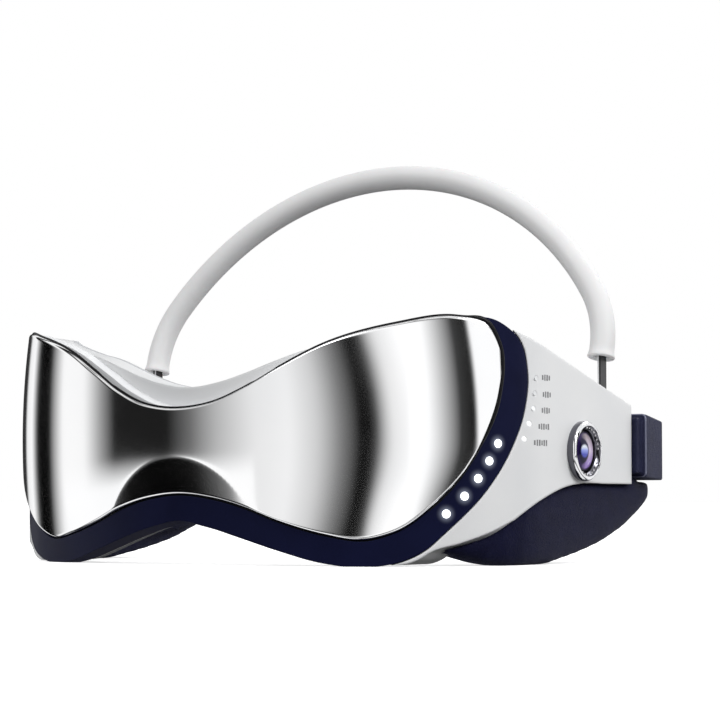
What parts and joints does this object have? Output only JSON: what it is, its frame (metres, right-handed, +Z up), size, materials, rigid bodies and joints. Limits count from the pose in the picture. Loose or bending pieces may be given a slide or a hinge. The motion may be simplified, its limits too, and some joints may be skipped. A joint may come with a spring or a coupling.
{
  "type": "eye beauty device",
  "caption": "Wrap-around eye care mask with a mirrored wave visor, navy bezel and face cushion, white wings, a push button and a height-adjustable over-head band.",
  "frame": {"origin": "middle of the width and of the length, on the table plane the mask stands on", "axes": "+X to the push-button side, -Y out of the mirrored front, +Z up"},
  "size_m": [0.2124, 0.1474, 0.1468],
  "materials": {
    "visor_mirror": "metallised mirror",
    "bezel_navy": "satin",
    "lamp_clear": "clear light pipe",
    "shell_white": "satin",
    "panel_clear": "frosted",
    "cover_grey": "matte",
    "cushion_navy": "soft grain",
    "strip_black": "satin black",
    "sleeve_white": "matte silicone",
    "inner_plastic": "matte",
    "ring_chrome": "polished",
    "lens_jewel": "polished",
    "chip_black": "matte",
    "board_green": "satin",
    "cell_foil": "foil wrap",
    "socket_steel": "brushed",
    "led_amber": "gloss"
  },
  "bodies": {
    "mask": {"front_visor": "visor_mirror", "bezel_frame": "bezel_navy", "band_lamps": "lamp_clear", "mode_lamps": "lamp_clear", "wrap_housing": "shell_white", "light_panel_left": "panel_clear", "light_panel_right": "panel_clear", "inner_cover": "cover_grey", "side_skirt_left": "cushion_navy", "side_skirt_right": "cushion_navy", "face_cushion": "cushion_navy", "temple_cap_left": "cushion_navy", "temple_cap_right": "cushion_navy", "strip_guide_left": "inner_plastic", "strip_guide_right": "inner_plastic", "button_ring": "ring_chrome", "button_switch": "chip_black", "control_board": "board_green", "control_chips": "chip_black", "battery_cell": "cell_foil", "charge_socket": "socket_steel", "light_board_left": "board_green", "light_board_right": "board_green", "treatment_leds_left": "led_amber", "treatment_leds_right": "led_amber", "vibration_motor_left": "socket_steel", "vibration_motor_right": "socket_steel", "main_board": "board_green", "main_chips": "chip_black", "band_lamp_flex": "board_green", "mode_lamp_flex": "board_green"},
    "headband": {"band_strip": "strip_black", "band_sleeve": "sleeve_white"},
    "button": {"button_lens": "lens_jewel", "button_carrier": "inner_plastic", "button_stem": "inner_plastic"}
  },
  "joints": [
    {"name": "headband_height", "type": "slide", "parent": "mask", "child": "headband", "axis": [0, 0, 1], "range_m": [-0.008, 0.01]},
    {"name": "power_button_press", "type": "slide", "parent": "mask", "child": "button", "axis": [-1, 0, 0], "range_m": [0, 0.0012], "stiffness_N_per_m": 1500, "springref_m": -0.0005}
  ]
}
